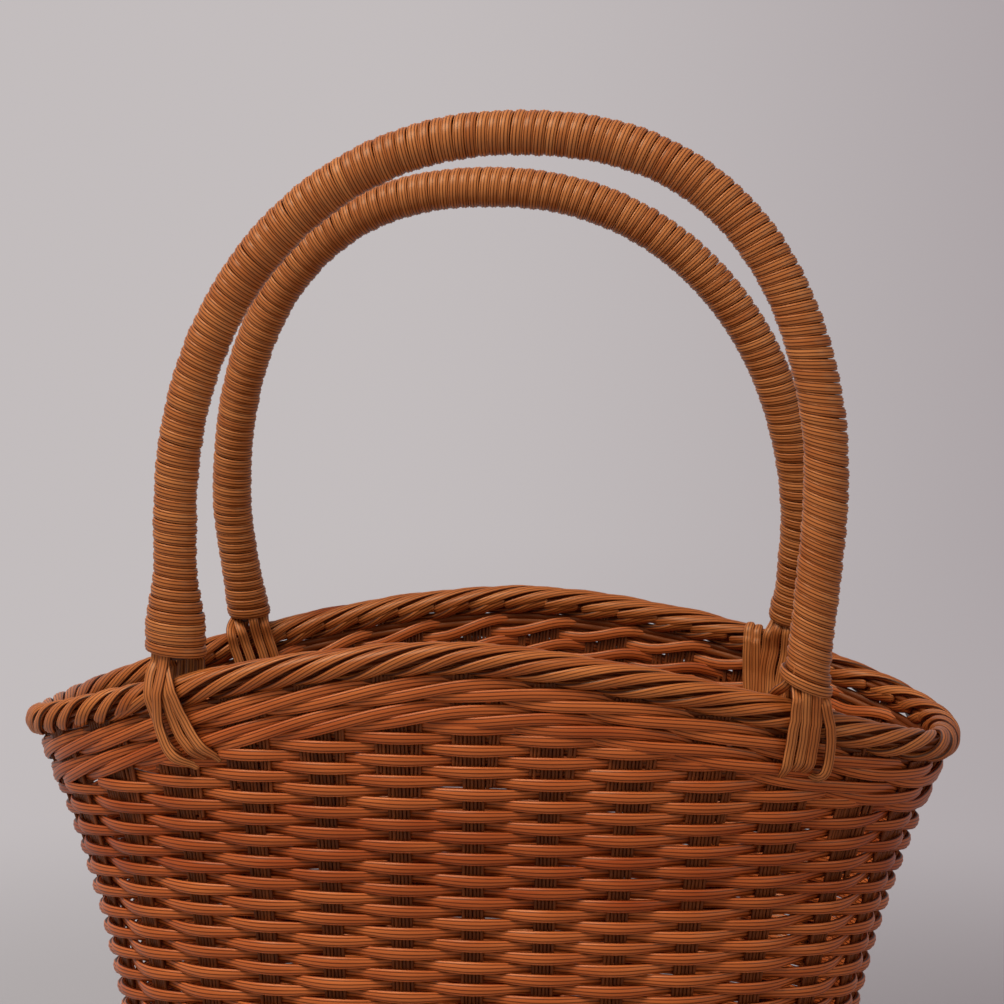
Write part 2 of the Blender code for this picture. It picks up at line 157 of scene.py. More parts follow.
def wall(turns, heights):
    """Points of the side's middle surface with the directions along it, up it and out of it."""
    turns, heights = np.broadcast_arrays(np.asarray(turns, float), np.asarray(heights, float))
    rim = rim_height(turns)
    shares = np.clip(heights / rim, 0, 1)
    x, y = plan_at(turns, shares)
    length, depth = half_sizes(shares)
    out_x = np.sign(x) * np.abs(x / length) ** (PLAN_EXPONENT - 1) / length
    out_y = np.sign(y) * np.abs(y / depth) ** (PLAN_EXPONENT - 1) / depth
    level = unit(np.stack((-out_y, out_x, np.zeros_like(x)), axis=-1))
    step = 0.02
    low = np.minimum(shares, 1 - step)
    x_low, y_low = plan_at(turns, low)
    x_high, y_high = plan_at(turns, low + step)
    up = unit(np.stack((x_high - x_low, y_high - y_low, step * rim), axis=-1))
    up = unit(up - level * np.sum(up * level, axis=-1, keepdims=True))
    return np.stack((x, y, heights), axis=-1), level, up, np.cross(level, up)


def rim_point(turn):
    turns = np.array([turn])
    return wall(turns, rim_height(turns))[0][0]


def level_outward(level):
    return unit(np.stack((level[:, 1], -level[:, 0], np.zeros(len(level))), axis=-1))


def turn_at_x(x, front):
    """Turn at which the border passes over a given x, on the front or on the back."""
    turns = np.linspace(-0.25, 0.25, 2001) + (0 if front else 0.5)
    xs, _ = plan_at(turns, np.ones_like(turns))
    order = np.argsort(xs)
    return float(np.interp(x, xs[order], turns[order]))


def smooth_step(low, high, values):
    share = np.clip((values - low) / (high - low), 0, 1)
    return share * share * (3 - 2 * share)


def run_along(points):
    """Distance of each point from the first, along the line through them."""
    return np.concatenate(([0], np.cumsum(np.linalg.norm(np.diff(points, axis=0), axis=1))))


def through(points, count):
    """Smooth curve through a few points, as evenly spaced samples."""
    points = np.asarray(points, float)
    padded = np.concatenate((2 * points[:1] - points[1:2], points, 2 * points[-1:] - points[-2:-1]))
    spans = len(points) - 1
    at = np.linspace(0, spans, count * 4)
    low = np.minimum(at.astype(int), spans - 1)
    t = (at - low)[:, None]
    a, b, c, d = (padded[low + shift] for shift in range(4))
    square, cube = (2 * a - 5 * b + 4 * c - d) * t ** 2, (3 * b - a - 3 * c + d) * t ** 3
    curve = 0.5 * (2 * b + (c - a) * t + square + cube)
    run = run_along(curve)
    even = np.linspace(0, run[-1], count)
    return np.stack([np.interp(even, run, curve[:, axis]) for axis in range(curve.shape[1])], axis=-1)


# Meshes

# Rings that round off a cane: how far beyond its end, in widths, and how large
END_STEPS = (0.42, 0.34, 0.18)
END_SCALES = (0.38, 0.72, 0.94)


def ribbed_section(ribs, edge, groove, bluntness, groove_painted_light, shoulder_painted_light=0.85):
    """Outline of a plump cane with ribs on both faces: across, through and how light each place is painted,
    with painted shade in the grooves and at the edges.
    """
    places = np.linspace(-1, 1, 2 * ribs + 1)
    across = (places + np.sin(places * pi / 2)) / 2
    lit = np.ones(len(places))
    lit[2:-1:2] = groove_painted_light
    lit[[1, -2]] = shoulder_painted_light
    lit[[0, -1]] = 0.0
    swell = edge + (1 - edge) * (1 - np.abs(across) ** bluntness) ** (1 / bluntness)
    face = swell - groove * (lit == groove_painted_light)
    return np.concatenate((across, across[::-1])), np.concatenate((face, -face[::-1])), np.tile(lit, 2)


# A round strand is painted lit at its front and back, with painted shade at its sides where it meets its
# neighbours
def round_section(sides):
    angles = -pi / sides + 2 * pi * np.arange(sides) / sides
    return -np.cos(angles), np.sin(angles), np.abs(np.sin(angles))


# The grooves and the edges of the ribbed canes get painted shade, the winding's grooves the darkest
CANE_SECTION = ribbed_section(ribs=4, edge=0.14, groove=0.19, bluntness=2.0, groove_painted_light=0.05)
WINDING_SECTION = ribbed_section(ribs=4, edge=0.12, groove=0.28, bluntness=2.6, groove_painted_light=-0.02)
STRAND_SECTION = round_section(sides=8)


def link_item(name, data):
    item = bpy.data.objects.new(name, data)
    bpy.context.scene.collection.objects.link(item)
    return item


class Canes:
    """Gathers swept canes, all of one section, and makes them one mesh."""

    def __init__(self, section, seed):
        self.section = section
        self.random = np.random.default_rng(seed)
        self.places, self.quads = [], []
        self.values = {"rib": [], "run": [], "across": [], "tone": []}
        self.count = 0

    def wander(self, count, knots, amount):
        """Smooth random changes along a cane of so many points."""
        places = max(int(knots), 4)
        changes = self.random.uniform(-amount, amount, places)
        at = np.linspace(0, places - 1, count)
        low = np.minimum(at.astype(int), places - 2)
        share = smooth_step(0, 1, at - low)
        return changes[low] * (1 - share) + changes[low + 1] * share

    def add(self, points, facing, width, thickness, closed=False, roll=0.0):
        """Sweep the section along points, its broad face towards facing, with rounded ends."""
        across, face, rib = self.section
        facing = np.broadcast_to(facing, points.shape)
        width, thickness, roll = (np.broadcast_to(np.asarray(value, float), (len(points),))
                                  for value in (width, thickness, roll))
        scale = np.ones(len(points))
        if not closed:
            back, on = unit(points[0] - points[1]), unit(points[-1] - points[-2])
            points = np.concatenate(([points[0] + back * width[0] * step for step in END_STEPS], points,
                                     [points[-1] + on * width[-1] * step for step in END_STEPS[::-1]]))
            scale = np.concatenate((END_SCALES, scale, END_SCALES[::-1]))
            added = len(END_STEPS)
            width, thickness, roll = (np.pad(value, added, mode="edge") for value in (width, thickness, roll))
            facing = np.pad(facing, ((added, added), (0, 0)), mode="edge")
        steps, sides = len(points), len(across)
        if closed:
            ahead = unit(np.roll(points, -1, axis=0) - np.roll(points, 1, axis=0))
        else:
            ahead = unit(np.gradient(points, axis=0))
        facing = unit(facing - ahead * np.sum(facing * ahead, axis=1, keepdims=True))
        sideways = np.cross(ahead, facing)
        roll = roll[:, None]
        facing, sideways = (facing * np.cos(roll) + sideways * np.sin(roll),
                            sideways * np.cos(roll) - facing * np.sin(roll))
        wide, thick = (width * scale / 2)[:, None, None], (thickness * scale / 2)[:, None, None]
        grid = (points[:, None] + sideways[:, None] * (across[None, :, None] * wide)
                + facing[:, None] * (face[None, :, None] * thick))
        self.places.append(grid.reshape(-1, 3))
        first = np.arange(steps if closed else steps - 1)[:, None] * sides
        following = (first + sides) % (steps * sides)
        side = np.arange(sides)[None]
        beside = (side + 1) % sides
        quads = [np.stack((first + side, first + beside, following + beside, following + side),
                          axis=-1).reshape(-1, 4)]
        if not closed:
            step = np.arange(sides // 2 - 1)
            cap = np.stack((step, step + 1, sides - 2 - step, sides - 1 - step), axis=-1)
            quads += [cap[:, ::-1], cap + (steps - 1) * sides]
        self.quads.append(np.concatenate(quads) + self.count)
        self.count += steps * sides
        run = run_along(points) + self.random.uniform(0, 9)
        self.values["rib"].append(np.tile(rib, steps))
        self.values["run"].append(np.repeat(run, sides))
        self.values["across"].append(np.tile(across, steps) * float(np.mean(width)) / 2)
        self.values["tone"].append(np.full(steps * sides, self.random.uniform(0, 1)))

    def make(self, name, kind, slot):
        places, quads = np.concatenate(self.places), np.concatenate(self.quads)
        mesh = bpy.data.meshes.new(name)
        mesh.vertices.add(len(places))
        mesh.vertices.foreach_set("co", places.ravel())
        mesh.loops.add(quads.size)
        mesh.loops.foreach_set("vertex_index", quads.ravel())
        mesh.polygons.add(len(quads))
        mesh.polygons.foreach_set("loop_start", np.arange(0, quads.size, 4))
        mesh.update(calc_edges=True)
        for key, values in self.values.items():
            attribute = mesh.attributes.new(key, "FLOAT", "POINT")
            attribute.data.foreach_set("value", np.concatenate(values).astype(np.float32))
        mesh.shade_smooth()
        mesh.materials.append(cane_finish(kind))
        piece = link_item(name, mesh)
        return piece


# Materials

# How finely streaks and patches follow the run, the width and the tone of a cane
STREAK_STRETCH = (60, 2600, 97)
PATCH_STRETCH = (28, 40, 53)

# How streaks and tone choose between the dark and the light colour
STREAK_SHARE = 0.55
TONE_SHARE = 0.34
TONE_SHIFT = 0.42

# Painted light at which no painted groove shade shows any more, and what the streaks add to the roughness
NO_PAINTED_SHADE_ABOVE = 0.58
ROUGHNESS_SPREAD = (-0.07, 0.09)

# Name, colour of the painted shade in the grooves and at the edges, and added roughness of each kind of cane
CANE_KINDS = {
    "weave": ("side_cane_finish", "weave_painted_shade", 0.0),
    "rim": ("border_cane_finish", "rim_painted_shade", 0.0),
    "grip": ("winding_cane_finish", "grip_painted_shade", 0.03),
    # The stake kind, used for all the thin strands, is darkened as painted shade
    "stake": ("stake_strand_painted_shade", "weave_painted_shade", 0.06),
}


def feed(tree, node, inputs):
    """Fill the inputs of a node, each with a value or from the socket that feeds it."""
    for key, value in inputs.items():
        if isinstance(value, bpy.types.NodeSocket):
            tree.links.new(value, node.inputs[key])
        else:
            node.inputs[key].default_value = value


def add_node(tree, kind, inputs, **settings):
    """New shader node with its inputs filled. Gives its outputs."""
    made = tree.nodes.new(f"ShaderNode{kind}")
    for key, value in settings.items():
        setattr(made, key, value)
    feed(tree, made, inputs)
    return made.outputs


def math_node(tree, operation, *values):
    return add_node(tree, "Math", dict(enumerate(values)), operation=operation)[0]


def fade_node(tree, value, low, high):
    """0 up to the low value and 1 from the high one, with a smooth rise between them."""
    return add_node(tree, "MapRange", {"Value": value, "From Min": low, "From Max": high},
                    interpolation_type="SMOOTHSTEP")["Result"]


def mix_colours(tree, share, first, second):
    return add_node(tree, "Mix", {0: share, 6: first, 7: second}, data_type="RGBA")[2]


def new_material(name):
    material = bpy.data.materials.new(name)
    material.use_nodes = True
    return material, material.node_tree, material.node_tree.nodes["Principled BSDF"]


def cane_finish(kind):
    """Finish of a kind of cane, made once in the colours of the panel."""
    looks = bpy.context.scene.basket_canes
    # groove names the colour of the painted shade in the grooves and at the edges
    name, groove, duller = CANE_KINDS[kind]
    colours = [(*getattr(looks, key), 1) for key in (groove, f"{kind}_dark", f"{kind}_light")]
    return bpy.data.materials.get(name) or cane_material(name, *colours, looks.roughness + duller)


def cane_material(name, painted_shade_colour, dark_colour, light_colour, roughness):
    """Ribbed plastic cane: painted shade in the grooves and at the edges, faint streaks along the cane and a
    tone for each cane.
    """
    material, tree, shader = new_material(name)
    read = {key: add_node(tree, "Attribute", {}, attribute_name=key)["Fac"]
            for key in ("rib", "run", "across", "tone")}
    place = add_node(tree, "CombineXYZ", {"X": read["run"], "Y": read["across"], "Z": read["tone"]})[0]

    def noise(stretch, detail):
        spread = add_node(tree, "VectorMath", {0: place, 1: stretch}, operation="MULTIPLY")[0]
        return add_node(tree, "TexNoise", {"Vector": spread, "Scale": 1.0, "Detail": detail})["Fac"]

    streaks, patches = noise(STREAK_STRETCH, detail=3.0), noise(PATCH_STRETCH, detail=1.0)
    toned = math_node(tree, "MULTIPLY_ADD", read["tone"], TONE_SHARE, patches)
    centred = math_node(tree, "SUBTRACT", toned, TONE_SHIFT)
    share = math_node(tree, "MULTIPLY_ADD", streaks, STREAK_SHARE, centred)
    body = mix_colours(tree, share, dark_colour, light_colour)
    # Painted shade: the groove colour where the section's painted light is low, in the grooves and at the
    # edges
    free_of_painted_shade = fade_node(tree, read["rib"], 0.0, NO_PAINTED_SHADE_ABOVE)
    least, most = (roughness + change for change in ROUGHNESS_SPREAD)
    feed(tree, shader, {
        "Base Color": mix_colours(tree, free_of_painted_shade, painted_shade_colour, body),
        "Roughness": add_node(tree, "MapRange", {"Value": streaks, "To Min": least, "To Max": most})[0],
        "Normal": add_node(tree, "Bump", {"Strength": 0.35, "Distance": 0.00012, "Height": streaks})[0],
        "Specular IOR Level": 0.38,
        "Specular Tint": (1.0, 0.76, 0.48, 1),
    })
    return material


def rod_material(name):
    """Bare rod with a fine grain, coloured dark as painted shade, since it lies in shade under the winding.
    """
    material, tree, shader = new_material(name)
    dark, light = (0.06, 0.018, 0.005, 1), (0.14, 0.045, 0.013, 1)
    place = add_node(tree, "TexCoord", {})["Object"]
    grain = add_node(tree, "TexNoise", {"Vector": place, "Scale": 420, "Detail": 4})["Fac"]
    feed(tree, shader, {
        "Base Color": mix_colours(tree, grain, dark, light),
        "Normal": add_node(tree, "Bump", {"Strength": 0.3, "Distance": 0.0002, "Height": grain})[0],
        "Roughness": 0.62,
    })
    return material


# Settings that a user would change

def colour_property(name, description, default):
    return FloatVectorProperty(name=name, description=description, default=default,
                               subtype="COLOR", size=3, min=0, max=1)


def tone_property(kind, tone, default):
    description = f"{tone.capitalize()} tone of the {kind.lower()} canes"
    return colour_property(f"{kind}, {tone}", description, default)


def number_property(name, description, default, **limits):
    return FloatProperty(name=name, description=description, default=default, **limits)


def length_property(name, description, default):
    return number_property(name, description, default, unit="LENGTH", min=0.0001, precision=4)


class BasketCaneSettings(bpy.types.PropertyGroup):
    # The groove tones are painted shade, laid in the grooves and at the edges of the canes
    weave_light: tone_property("Weave", "light", (0.62, 0.152, 0.034))
    weave_dark: tone_property("Weave", "dark", (0.32, 0.040, 0.004))
    weave_painted_shade: tone_property("Weave", "groove", (0.050, 0.004, 0.0006))
    rim_light: tone_property("Rim", "light", (0.63, 0.196, 0.047))
    rim_dark: tone_property("Rim", "dark", (0.29, 0.047, 0.005))
    rim_painted_shade: tone_property("Rim", "groove", (0.050, 0.005, 0.0007))
    grip_light: tone_property("Grip", "light", (0.70, 0.250, 0.070))
    grip_dark: tone_property("Grip", "dark", (0.31, 0.055, 0.005))
    grip_painted_shade: tone_property("Grip", "groove", (0.060, 0.007, 0.001))
    # The stake tones are kept darker than the weave's as painted shade for strands that lie in shade behind
    # the canes; between them the tone changes at random
    stake_light: tone_property("Stake", "light", (0.25, 0.054, 0.009))
    stake_dark: tone_property("Stake", "dark", (0.07, 0.008, 0.001))
    roughness: number_property("Roughness", "How dull the cane is", 0.38,
                               min=0.05, max=0.95, subtype="FACTOR")


class BasketSizeSettings(bpy.types.PropertyGroup):
    row_pitch: length_property("Row pitch", "Height from one round of the side weave to the next", 0.0043)
    weave_width: length_property("Side cane width", "Width of a side cane", 0.0051)
    cane_thickness: length_property("Cane thickness", "Thickness of a plump cane", 0.0031)
    wale_width: length_property("Wale cane width", "Width of a cane in the twined wales", 0.0049)
    border_width: length_property("Border cane width", "Width of a cane in the rolled border", 0.0044)
    turn_pitch: length_property("Winding pitch", "Distance from one turn of winding to the next", 0.00445)
    lashing_width: length_property("Lashing cane width", "Width of a cane in the lashings", 0.0044)
    strand_width: length_property("Strand width", "Width of one upright strand of a stake", 0.0015)
    border_canes: IntProperty(name="Border canes", description="Number of canes rolled into the border",
                              default=58, min=20, max=160)


class BasketStageSettings(bpy.types.PropertyGroup):
    # The backdrop colours are what the camera sees of the backdrop and the far floor, graded from the lit
    # colour to the shaded one as painted shade
    pale: colour_property("Backdrop, lit", "Backdrop on the lit side", (0.545, 0.508, 0.512))
    shaded: colour_property("Backdrop, shaded", "Backdrop away from the light", (0.330, 0.287, 0.304))
    # The floor's shaded colour is painted shade, on the side away from the key light
    floor: colour_property("Floor, lit", "Floor on the lit side", (0.50, 0.47, 0.475))
    floor_shaded: colour_property("Floor, shaded", "Floor away from the light", (0.26, 0.215, 0.235))
    key_power: number_property("Key light", "Power of the large soft light", 63.0, min=0, unit="POWER")
    fill_power: number_property("Fill light", "Power of the light from the right", 8.0, min=0, unit="POWER")
    sky: number_property("Ambient light", "Strength of the light from all round", 0.29, min=0, max=2)


# Side weave

WEAVE_BOTTOM = FOOT_HEIGHT + 0.0024
WEAVE_SWING = 0.0027
WEAVE_WANDER = 0.00024

# How far the weave goes up behind the lower wale, and where and how much it flattens there
WEAVE_OVERLAP = 0.0020
FLATTENED = (-0.0005, 0.0025)
FLATTENING = 0.45

# Share of its width that a side cane has between stakes, and what it gains over one
WEAVE_WIDTHS = (0.82, 0.18)

# In spans: start and end of a cut cane past a stake, longest cane, and canes in one piece
PAST_STAKE = (0.70, 0.27)
LONGEST_CANE = 17 * STAKES
LONGEST_PIECE = 18 * STAKES


def weave_stretches(pitch):
    """Stretches of the spiral that lie below the wales, each from past a stake to past another.

    A long one is cut where the cane is on the inside, so that no cane is too long.
    """
    rounds = int((TIP_HEIGHT + CREST_RISE - WEAVE_BOTTOM) / pitch)
    along = np.arange(rounds * STAKES * SPAN_STEPS + 1) / SPAN_STEPS
    limit = rim_height(along / STAKES) - WEAVE_TOP_DROP + WEAVE_OVERLAP
    inside = WEAVE_BOTTOM + pitch * along / STAKES <= limit
    edges = np.flatnonzero(np.diff(inside.astype(int))) + 1
    for low, high in zip((0, *edges), (*edges, len(along))):
        if not inside[low] or high - low <= 2 * SPAN_STEPS:
            continue
        start, end = along[low], along[high - 1]
        if low > 0:
            start = floor(start - FIRST_STAKE) + FIRST_STAKE + PAST_STAKE[0]
        if high < len(along):
            end = ceil(end - FIRST_STAKE) + FIRST_STAKE + PAST_STAKE[1]
        while end - start > LONGEST_CANE:
            stake = round(start + LONGEST_CANE - FIRST_STAKE)
            cut = stake - (stake % 2 == 0) + FIRST_STAKE
            yield start, cut
            start = cut
        yield start, end


class BASKET_OT_side_weave(bpy.types.Operator):
    """Weave single ribbed canes in and out of the stakes, level after level"""
    bl_idname = "basket.side_weave"
    bl_label = "Side weave"

    def execute(self, context):
        sizes = context.scene.basket_sizes
        groups, load = [[]], 0
        for start, end in weave_stretches(sizes.row_pitch):
            if load + end - start > LONGEST_PIECE:
                groups.append([])
                load = 0
            groups[-1].append((start, end))
            load += end - start
        for number, group in enumerate(groups, start=1):
            canes = Canes(CANE_SECTION, seed=100 + number)
            for start, end in group:
                self.add_cane(canes, sizes, start, end)
            piece = canes.make(f"side_canes_{number}", "weave", "woven_cane")
            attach(piece, "basket")
            if number == 1:
                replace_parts(piece, "side_weave")
        return {"FINISHED"}

    def add_cane(self, canes, sizes, start, end):
        spans = end - start
        count = max(int(spans * SPAN_STEPS) + 1, 8)
        along = np.linspace(start, end, count)
        turns = along / STAKES
        wander = canes.wander(count, spans / 1.5, WEAVE_WANDER)
        heights = WEAVE_BOTTOM + sizes.row_pitch * turns + wander
        points, _, _, out = wall(turns, heights)
        under_wale = smooth_step(*FLATTENED, heights - rim_height(turns) + WEAVE_TOP_DROP)
        swing = np.cos(pi * (along - FIRST_STAKE)) * (1 - FLATTENING * under_wale)
        reach = canes.wander(count, spans, amount=0.10) + 1
        points = points + out * (WEAVE_SWING * swing * reach)[:, None]
        roll = canes.wander(count, spans, amount=0.14)
        width = sizes.weave_width * (WEAVE_WIDTHS[0] + WEAVE_WIDTHS[1] * np.abs(swing))
        canes.add(points, out, width, sizes.cane_thickness, roll=roll)


# Stakes

STRANDS = 6
STRAND_SPACING = 0.97
STRAND_SHIFT = 0.00030
STAKE_SAMPLES = 26

# How far the strands of a stake go into the foot wale and into the border
INTO_FOOT = 0.003
INTO_BORDER = 0.004

# Strands tucked in beside a stake
TUCKED_STRANDS = 3
TUCKED_SAMPLES = 10
TUCKED_INTO_BORDER = 0.006
TUCKED_REACH_SPREAD = 0.012
TUCKED_SLANTS = (0.5, 1.2)
TUCKED_OUTWARD = 0.0003
TUCKED_ASIDE = 0.0052
TUCKED_SPACING = 0.00142

# Tucked strands on each side: sign, shortest reach below the wales, and slant
TUCKED_SIDES = ((-1, 0.013, 0.0003), (1, 0.021, 0.0030))


class BASKET_OT_stakes(bpy.types.Operator):
    """Stand bundles of thin upright strands, with more tucked in beside them near the rim"""
    bl_idname = "basket.stakes"
    bl_label = "Stakes"

    def execute(self, context):
        strand = context.scene.basket_sizes.strand_width
        bundles, tucked = Canes(STRAND_SECTION, seed=201), Canes(STRAND_SECTION, seed=202)
        for index in range(STAKES):
            middle = (index + FIRST_STAKE) / STAKES
            top = rim_point(middle)[2]
            heights = np.linspace(FOOT_HEIGHT - INTO_FOOT, top - INTO_BORDER, STAKE_SAMPLES)
            points, level, _, out = wall(middle, heights)
            for number in range(STRANDS):
                place = (number - (STRANDS - 1) / 2) * strand * STRAND_SPACING
                aside = place + bundles.wander(STAKE_SAMPLES, 9, amount=0.00008)
                forward = bundles.random.uniform(-STRAND_SHIFT, STRAND_SHIFT)
                bundles.add(points + level * aside[:, None] + out * forward, out, strand, strand * 1.25)
            for side, shortest, slant in TUCKED_SIDES:
                for number in range(TUCKED_STRANDS):
                    reach = tucked.random.uniform(shortest, shortest + TUCKED_REACH_SPREAD)
                    lean = slant * tucked.random.uniform(*TUCKED_SLANTS)
                    lean = lean * np.linspace(1, 0, TUCKED_SAMPLES)
                    heights = np.linspace(top - TUCKED_INTO_BORDER, top - WEAVE_TOP_DROP - reach,
                                          TUCKED_SAMPLES)
                    aside = side * (TUCKED_ASIDE + number * TUCKED_SPACING + lean)
                    points, level, _, out = wall(middle, heights)
                    points = points + level * aside[:, None] + out * TUCKED_OUTWARD
                    tucked.add(points, out, strand * 0.95, strand * 1.1)
        nodes = [f"stake_{index + 1:02d}" for index in range(STAKES)]
        # The strands take the dark stake colour, painted shade
        piece = bundles.make("stake_strands", "stake", "stake_cane")
        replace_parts(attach(piece, "basket"), *nodes)
        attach(tucked.make("tucked_strands", "stake", "stake_cane"), "basket")
        return {"FINISHED"}


# Wales and foot

WALE_SWING = 0.0030
WALE_CLIMB = 0.0033
WALE_WANDER = 0.00030
WALE_CROSSING_SPANS = 0.70
WALE_JOIN_STEPS = 20

# Swing, climb and share of the wale canes' width for each band round the foot
FOOT_BANDS = ((0.0041, 0.0013, 0.92), (0.0018, 0.0010, 0.84))


def add_wale(canes, middle_height, swing, climb, width, thickness):
    """One cane that goes round three times and so makes the three rods of a wale.

    Each rod climbs while it passes before two stakes, then drops while it passes behind one.
    """
    count = 3 * STAKES * SPAN_STEPS
    steps = np.arange(count)
    along = steps / SPAN_STEPS
    turns = along / STAKES
    phase = (along - FIRST_STAKE - 0.5) % 3
    before = phase < 2
    rise = np.where(before, np.sin(pi / 2 * (phase - 1)), np.cos(pi * (phase - 2)))
    side = np.where(before, np.minimum(phase, 2 - phase), -np.minimum(phase - 2, 3 - phase))
    reach = np.sin(pi / 2 * np.clip(side / WALE_CROSSING_SPANS, -1, 1))
    wander = canes.wander(count, count / SPAN_STEPS, WALE_WANDER)
    wander = wander * smooth_step(0, WALE_JOIN_STEPS, np.minimum(steps, count - 1 - steps))
    points, _, up, out = wall(turns, middle_height(turns))
    points = points + up * (climb * rise + wander)[:, None] + out * (swing * reach)[:, None]
    canes.add(points, out, width, thickness, closed=True)


class BASKET_OT_wales(bpy.types.Operator):
    """Twine the two bands of three canes that run under the border"""
    bl_idname = "basket.wales"
    bl_label = "Wales"

    def execute(self, context):
        sizes = context.scene.basket_sizes
        for name, drop, seed in (("upper_wale", UPPER_WALE_DROP, 301), ("lower_wale", LOWER_WALE_DROP, 302)):
            canes = Canes(CANE_SECTION, seed)
            add_wale(canes, lambda turns, drop=drop: rim_height(turns) - drop,
                     WALE_SWING, WALE_CLIMB, sizes.wale_width, sizes.cane_thickness)
            piece = canes.make(f"{name}_canes", "weave", "woven_cane")
            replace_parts(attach(piece, "basket"), name)
        return {"FINISHED"}


class BASKET_OT_foot(bpy.types.Operator):
    """Twine the wale that the basket stands on, round the edge of the base"""
    bl_idname = "basket.foot"
    bl_label = "Foot"

    def execute(self, context):
        sizes = context.scene.basket_sizes
        canes = Canes(CANE_SECTION, seed=401)
        for swing, climb, share in FOOT_BANDS:
            add_wale(canes, lambda turns: np.full_like(turns, FOOT_HEIGHT / 2),
                     swing, climb, sizes.wale_width * share, sizes.cane_thickness)
        piece = canes.make("foot_wale_canes", "weave", "woven_cane")
        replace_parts(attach(piece, "basket"), "foot_wale")
        return {"FINISHED"}


# Border

# A plain border cane and a short one at the left tip: way along the rim in one turn about it, lean
# outside, first and last angle in degrees, from the outside over the top, and share of the width
PLAIN_CANE = (0.096, 0.22, -172, 205, 1)
FINGER = (0.040, 0, -60, 165, 1.16)
FINGER_TURNS = (0.775, 0.875)
FINGER_SPACING = 0.66

# The right tip, where a plain cane gets less far, and the shares of the rim over which that fades
RIGHT_TIP = 0.25
RIGHT_TIP_LAY = 0.058
RIGHT_TIP_FADE = (0.03, 0.11)

# Random changes from one cane to the next: start, first angle in degrees, roll and share of width
START_CHANGE = 0.0010
ANGLE_CHANGE = 6
ROLL_CHANGE = 0.22
WIDTH_CHANGES = (0.94, 1.04)

BORDER_SAMPLES = 30
BORDER_PLUMPNESS = 1.04
BORDER_SINK = 0.0014
START_TAPER_DEGREES = 52
END_TAPER_DEGREES = 50
CORE_STRANDS = 6
CORE_TWISTS = 3
CORE_RADIUS = 0.0024
CORE_SIZE = (0.0027, 0.0027)
# Two closing strands under the rope take the dark stake colour, as painted shade where the rope shades the
# wall
CLOSING_DROPS = (0.0072, 0.0098)
CLOSING_INSET = 0.0004
CLOSING_SIZE = (0.0032, 0.0020)


def border_frame(along):
    """Middle of the border at a distance along the mouth, with its level and outward directions."""
    turns = along / MOUTH_LENGTH
    points, level, _, _ = wall(turns, rim_height(turns))
    out = level_outward(level)
    up = np.cross(out, unit(np.gradient(points, axis=0)))
    return points, out, unit(np.where(up[:, 2:] < 0, -up, up))


class BASKET_OT_border(bpy.types.Operator):
    """Roll the border: canes that wind once round the rim, from under it to the inside"""
    bl_idname = "basket.border"
    bl_label = "Border"

    def execute(self, context):
        sizes = context.scene.basket_sizes
        canes = Canes(CANE_SECTION, seed=501)
        spacing = 1 / sizes.border_canes
        turn = 0.0
        while turn < 1 - spacing / 2:
            finger = FINGER_TURNS[0] < turn < FINGER_TURNS[1]
            self.add_cane(canes, sizes, turn * MOUTH_LENGTH, finger)
            turn += spacing * (FINGER_SPACING if finger else 1)
        piece = canes.make("border_canes", "rim", "border_cane")
        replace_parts(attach(piece, "basket"), "border")
        # The core and the closing strands take the dark stake colour, painted shade inside and under the rope
        core = Canes(STRAND_SECTION, seed=502)
        count = STAKES * SPAN_STEPS
        turns = np.append(np.arange(count) / count, 1.0)
        middle, out, up = border_frame(turns * MOUTH_LENGTH)
        for number in range(CORE_STRANDS):
            angle = 2 * pi * (number / CORE_STRANDS + CORE_TWISTS * turns)[:, None]
            strand = middle + (out * np.cos(angle) + up * np.sin(angle)) * CORE_RADIUS
            core.add(strand[:-1], out[:-1], *CORE_SIZE, closed=True)
        for drop in CLOSING_DROPS:
            strand, _, _, out = wall(turns, rim_height(turns) - drop)
            core.add(strand[:-1] - out[:-1] * CLOSING_INSET, out[:-1], *CLOSING_SIZE, closed=True)
        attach(core.make("border_core_strands", "stake", "stake_cane"), "basket")
        return {"FINISHED"}

    def add_cane(self, canes, sizes, start, finger):
        """One cane that winds once round the border; at the left tip canes start as short fingers."""
        lay, lean, low, high, widening = FINGER if finger else PLAIN_CANE
        start = start + canes.random.uniform(-START_CHANGE, START_CHANGE)
        first = radians(low + canes.random.uniform(-ANGLE_CHANGE, ANGLE_CHANGE))
        angles = np.linspace(first, radians(high), BORDER_SAMPLES)
        ends = smooth_step(angles[-1] - radians(END_TAPER_DEGREES), angles[-1], angles)
        if not finger:
            from_tip = smooth_step(*RIGHT_TIP_FADE, abs(start / MOUTH_LENGTH - RIGHT_TIP))
            lay = RIGHT_TIP_LAY + (lay - RIGHT_TIP_LAY) * from_tip
            ends = ends + 1 - smooth_step(*np.radians((low, low + START_TAPER_DEGREES)), angles)
        middle, out, up = border_frame(start + lay * (angles - lean * np.cos(angles)) / (2 * pi))
        lifted = canes.wander(len(angles), 5, amount=0.0004)
        reach = BORDER_RADIUS - sizes.cane_thickness / 2 + lifted - BORDER_SINK * ends
        radial = out * np.cos(angles)[:, None] + up * np.sin(angles)[:, None]
        roll = canes.random.uniform(-ROLL_CHANGE, ROLL_CHANGE)
        width = sizes.border_width * canes.random.uniform(*WIDTH_CHANGES) * widening
        thickness = sizes.cane_thickness * BORDER_PLUMPNESS
        canes.add(middle + radial * reach[:, None], radial, width, thickness, roll=roll)


# Base

BASE_PITCH = 0.0046
BASE_CANE_WIDTH = 0.0048
BASE_SWING = 0.0016
BASE_OVERLAP = 0.0024
BASE_MARGIN = 0.0004
STICK_SAMPLES = 14
STICK_STRANDS = 5
STICK_SPACING = 0.0016
STICK_SIZE = (0.0016, 0.0019)

